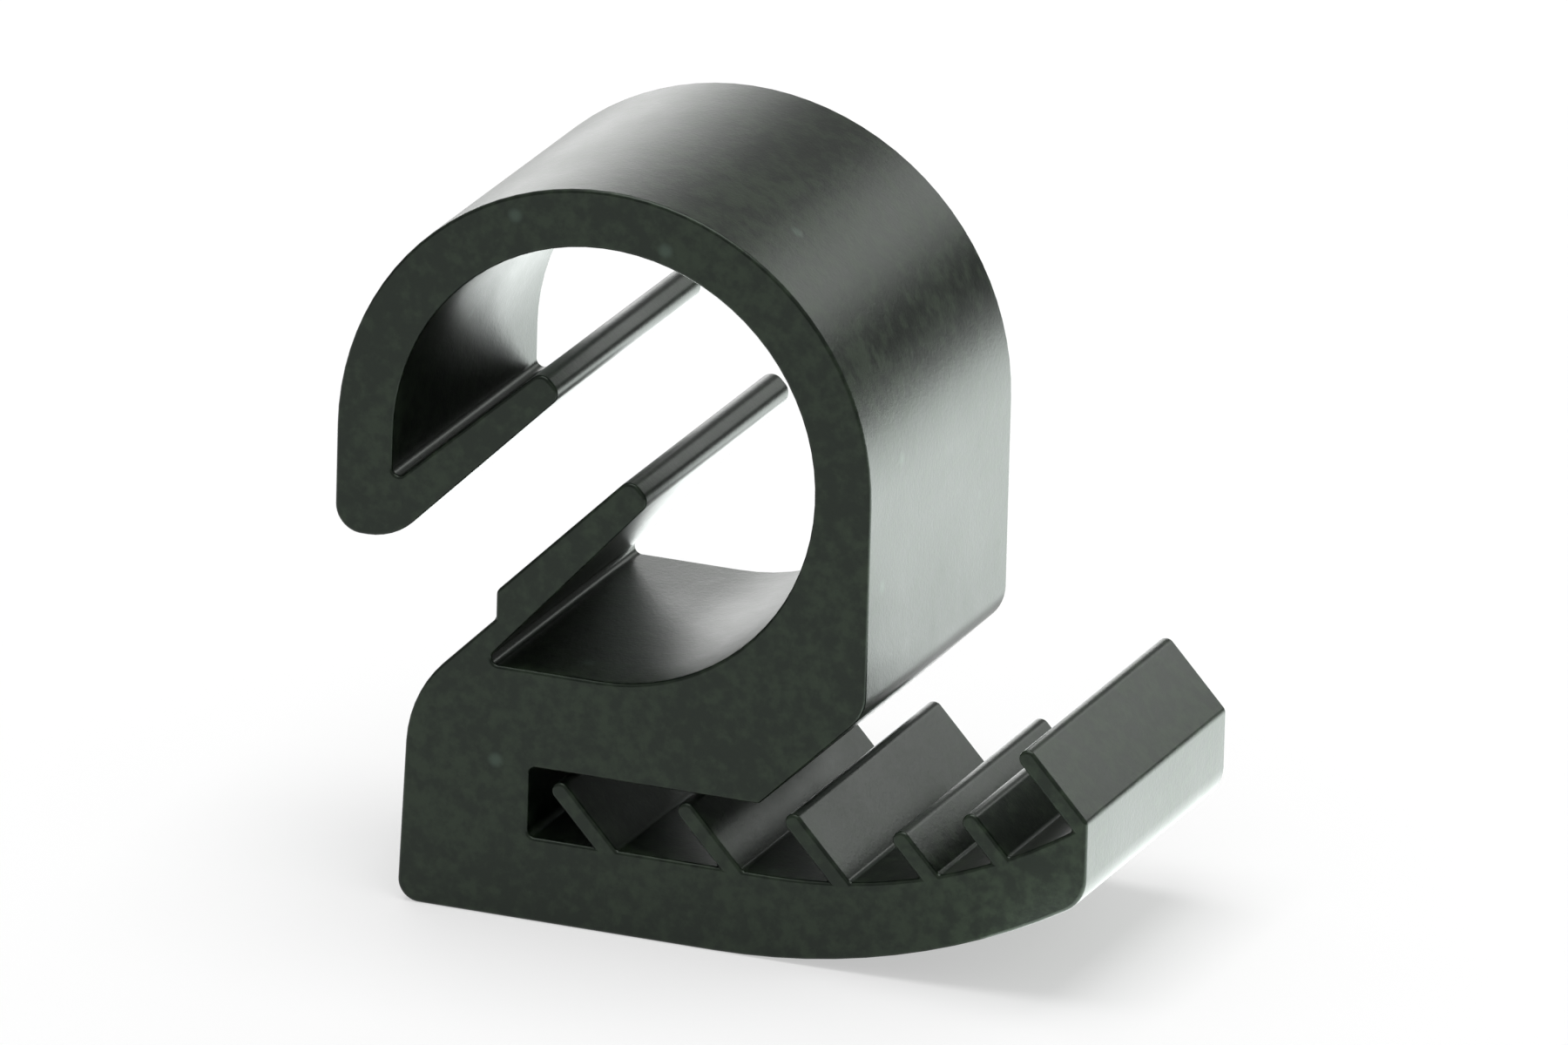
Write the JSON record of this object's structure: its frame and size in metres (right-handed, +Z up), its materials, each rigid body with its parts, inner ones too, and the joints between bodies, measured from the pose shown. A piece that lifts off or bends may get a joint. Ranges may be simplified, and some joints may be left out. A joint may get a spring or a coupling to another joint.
{
  "type": "panel edge cable clip",
  "caption": "One-piece moulded cable clip: a C-shaped ring with a slanted snap-in entry, on a base whose finned slot grips the edge of a sheet.",
  "frame": {"origin": "on the flat underside of the base, under the axis of the cable ring and halfway along the clip's width", "axes": "+X points the way the panel slot opens, +Y runs along the cable, +Z is up from the underside"},
  "size_m": [0.0215, 0.01, 0.0206],
  "materials": {
    "nylon": "black nylon, matte as moulded"
  },
  "bodies": {
    "root": {"edge_clip": "nylon"}
  },
  "joints": []
}
